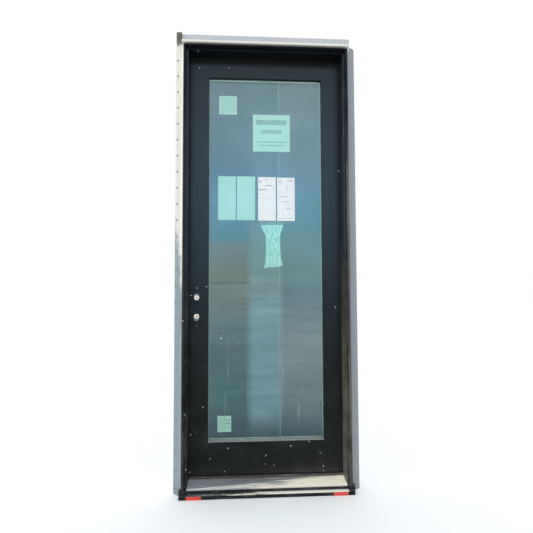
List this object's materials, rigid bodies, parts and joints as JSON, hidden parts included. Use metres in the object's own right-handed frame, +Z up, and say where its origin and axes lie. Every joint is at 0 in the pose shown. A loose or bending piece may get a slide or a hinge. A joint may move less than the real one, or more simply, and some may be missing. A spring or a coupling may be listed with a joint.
{
  "type": "glass patio door",
  "caption": "Single inward-opening glass door hung in its clad timber frame, with sloped sill, nailing fins, hinges and hook lock; handle not fitted.",
  "frame": {"origin": "middle of the sill's underside: half the frame's width and half its depth", "axes": "+X across the doorway from the lock side to the hinge side, +Y from outdoors to indoors, +Z up"},
  "size_m": [0.987, 0.174, 2.491],
  "materials": {
    "frame_cladding": "semi-gloss black paint on extruded aluminium, dusty",
    "panel_cladding": "semi-gloss black paint on extruded aluminium",
    "jamb_pine": "white-primed pine",
    "panel_pine": "white-primed pine",
    "stop_pine": "white-primed pine",
    "threshold_oak": "oiled oak",
    "sill_composite": "black composite, scuffed",
    "nosing_aluminium": "mill finish, dusty",
    "threshold_aluminium": "weathered, dusty",
    "dam_vinyl": "brown vinyl",
    "clip_plastic": "moulded red",
    "fin_vinyl": "off-white vinyl, weathered",
    "fin_vinyl_grey": "off-white vinyl, weathered",
    "gasket_foam": "grey foam",
    "strip_foam": "grey skinned foam",
    "strip_rubber": "matt black",
    "clear_glass": "clear insulated glass",
    "spacer_metal": "matt",
    "hinge_steel": "satin",
    "screw_steel": "zinc plated",
    "plate_steel": "satin",
    "case_steel": "zinc plated",
    "hub_zinc": "cast, bright",
    "bolt_steel": "satin",
    "label_paper": "white sheet",
    "label_film": "pale green back",
    "bag_film": "pale polythene packet"
  },
  "bodies": {
    "frame": {"sill_base": "sill_composite", "sill_nosing": "nosing_aluminium", "sill_threshold": "threshold_aluminium", "sill_dam": "dam_vinyl", "indoor_threshold": "threshold_oak", "sill_clips": "clip_plastic", "head_jamb": "jamb_pine", "lock_jamb": "jamb_pine", "hinge_jamb": "jamb_pine", "head_cladding": "frame_cladding", "lock_jamb_cladding": "frame_cladding", "hinge_jamb_cladding": "frame_cladding", "head_fin": "fin_vinyl", "lock_side_fin": "fin_vinyl", "hinge_side_fin": "fin_vinyl_grey", "corner_gasket": "gasket_foam", "head_weatherstrip": "strip_foam", "lock_weatherstrip": "strip_foam", "hinge_weatherstrip": "strip_foam", "sill_seal": "strip_rubber", "frame_screws": "screw_steel", "strike_plate": "plate_steel", "hook_keepers": "plate_steel", "strike_screws": "screw_steel", "hinge_jamb_leaves": "hinge_steel", "hinge_jamb_screws": "screw_steel", "hinge_pins": "hinge_steel"},
    "panel": {"lock_stile": "panel_pine", "lock_block": "panel_pine", "hinge_stile": "panel_pine", "top_rail": "panel_pine", "bottom_rail": "panel_pine", "lock_stile_cladding": "panel_cladding", "hinge_stile_cladding": "panel_cladding", "top_rail_cladding": "panel_cladding", "bottom_rail_cladding": "panel_cladding", "outer_pane": "clear_glass", "inner_pane": "clear_glass", "glass_spacer": "spacer_metal", "glazing_tape": "strip_rubber", "side_glazing_stops": "stop_pine", "level_glazing_stops": "stop_pine", "bottom_sweep": "strip_rubber", "hinge_panel_leaves": "hinge_steel", "hinge_panel_screws": "screw_steel", "lock_faceplate": "plate_steel", "faceplate_screws": "screw_steel", "gear_case": "case_steel", "hook_boxes": "case_steel", "outdoor_labels": "label_paper", "indoor_labels": "label_film", "hardware_bag": "bag_film"},
    "lever_hub": {"lever_hub": "hub_zinc"},
    "lock_hub": {"lock_hub": "hub_zinc"},
    "latch_bolt": {"latch_bolt": "bolt_steel"},
    "deadbolt": {"deadbolt": "bolt_steel"},
    "upper_rod": {"upper_rod": "case_steel"},
    "lower_rod": {"lower_rod": "case_steel"},
    "upper_hook": {"upper_hook": "bolt_steel"},
    "lower_hook": {"lower_hook": "bolt_steel"}
  },
  "joints": [
    {"name": "panel_swing", "type": "hinge", "parent": "frame", "child": "panel", "pos_m": [0.435, 0.08, 1.2325], "axis": [0, 0, -1], "range_deg": [0, 170]},
    {"name": "lever_turn", "type": "hinge", "parent": "panel", "child": "lever_hub", "pos_m": [-0.3845, 0.05075, 1.034], "axis": [0, 1, 0], "range_deg": [0, 45], "stiffness_Nm_per_rad": 0.5, "springref_deg": -11.46},
    {"name": "latch_slide", "type": "slide", "parent": "panel", "child": "latch_bolt", "axis": [1, 0, 0], "range_m": [0, 0.012]},
    {"name": "lock_turn", "type": "hinge", "parent": "panel", "child": "lock_hub", "pos_m": [-0.3845, 0.05075, 0.931], "axis": [0, 1, 0], "range_deg": [0, 90]},
    {"name": "deadbolt_slide", "type": "slide", "parent": "panel", "child": "deadbolt", "axis": [-1, 0, 0], "range_m": [0, 0.02]},
    {"name": "upper_rod_slide", "type": "slide", "parent": "panel", "child": "upper_rod", "axis": [0, 0, 1], "range_m": [0, 0.012]},
    {"name": "lower_rod_slide", "type": "slide", "parent": "panel", "child": "lower_rod", "axis": [0, 0, -1], "range_m": [0, 0.012]},
    {"name": "upper_hook_turn", "type": "hinge", "parent": "panel", "child": "upper_hook", "pos_m": [-0.42, 0.05075, 1.6825], "axis": [0, -1, 0], "range_deg": [0, 90]},
    {"name": "lower_hook_turn", "type": "hinge", "parent": "panel", "child": "lower_hook", "pos_m": [-0.42, 0.05075, 0.2825], "axis": [0, 1, 0], "range_deg": [0, 90]}
  ],
  "couplings": [
    {"joint": "latch_slide", "follows": "lever_turn", "m_per_rad": 0.01527},
    {"joint": "deadbolt_slide", "follows": "lock_turn", "m_per_rad": 0.01273},
    {"joint": "upper_rod_slide", "follows": "lock_turn", "m_per_rad": 0.00763},
    {"joint": "lower_rod_slide", "follows": "lock_turn", "m_per_rad": 0.00763},
    {"joint": "upper_hook_turn", "follows": "lock_turn", "ratio": 1},
    {"joint": "lower_hook_turn", "follows": "lock_turn", "ratio": 1}
  ]
}
